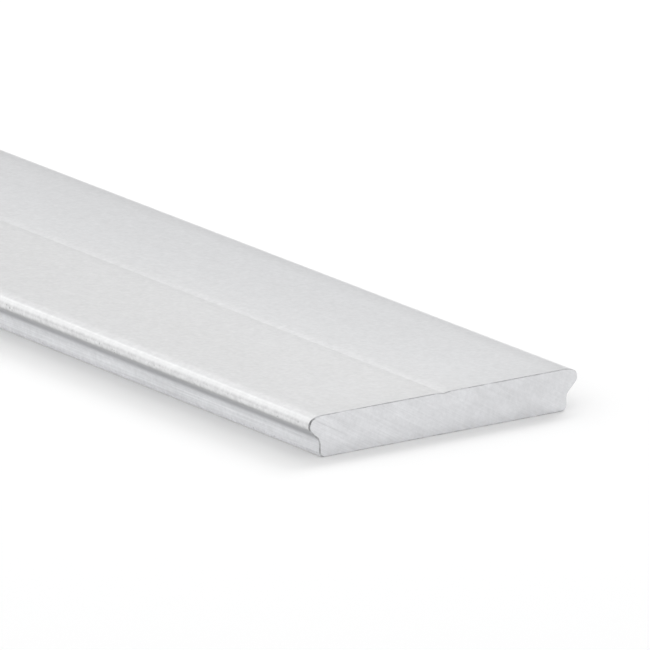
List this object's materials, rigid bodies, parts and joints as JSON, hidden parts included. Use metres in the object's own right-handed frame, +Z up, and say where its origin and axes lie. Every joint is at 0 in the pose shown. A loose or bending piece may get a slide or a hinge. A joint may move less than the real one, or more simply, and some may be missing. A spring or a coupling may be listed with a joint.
{
  "type": "aluminium extrusion profile",
  "caption": "Solid flat aluminium bar with rounded lips over an undercut foot, a fine centre mark along the top and sawn ends.",
  "frame": {"origin": "middle of the flat underside, on the surface that the bar lies on", "axes": "+X along the bar towards one sawn end, +Y across its width, +Z up through its thickness"},
  "size_m": [1, 0.03, 0.004],
  "materials": {
    "anodised_aluminium": "satin anodised, with bare saw-cut ends"
  },
  "bodies": {
    "root": {"extruded_bar": "anodised_aluminium"}
  },
  "joints": []
}
